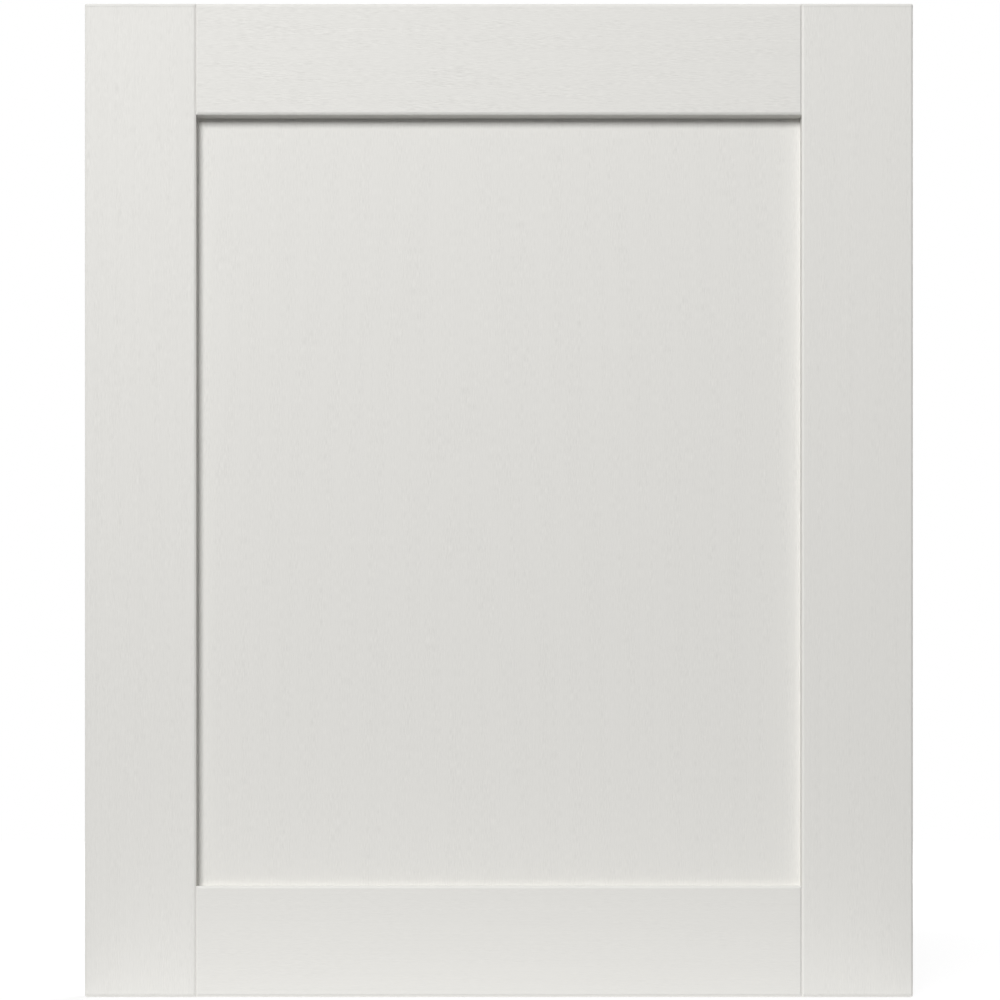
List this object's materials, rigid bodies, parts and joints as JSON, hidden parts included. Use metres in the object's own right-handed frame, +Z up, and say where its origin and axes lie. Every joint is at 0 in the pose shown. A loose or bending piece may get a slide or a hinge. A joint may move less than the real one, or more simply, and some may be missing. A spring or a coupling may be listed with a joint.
{
  "type": "kitchen cabinet door",
  "caption": "Shaker cabinet door: wrapped stiles and rails round a flat recessed panel, drilled at the back for concealed hinges.",
  "frame": {"origin": "centre of the upper hinge cup's mouth, on the door's back face", "axes": "+X from the hinge stile to the closing stile, +Y out of the back, +Z up"},
  "size_m": [0.596, 0.022, 0.715],
  "materials": {
    "foil": "light warm-grey matt foil with an embossed woodgrain, on fibreboard",
    "edging": "thin light warm-grey edging strip, smooth and matt",
    "beech": "plain beech, fluted"
  },
  "bodies": {
    "root": {"hinge_stile": "foil", "closing_stile": "foil", "top_rail": "foil", "bottom_rail": "foil", "centre_panel": "foil", "edging_hinge_stile_top": "edging", "edging_hinge_stile_bottom": "edging", "edging_closing_stile_top": "edging", "edging_closing_stile_bottom": "edging", "dowel_top_hinge_outer": "beech", "dowel_top_hinge_inner": "beech", "dowel_top_closing_outer": "beech", "dowel_top_closing_inner": "beech", "dowel_bottom_hinge_outer": "beech", "dowel_bottom_hinge_inner": "beech", "dowel_bottom_closing_outer": "beech", "dowel_bottom_closing_inner": "beech"}
  },
  "joints": []
}
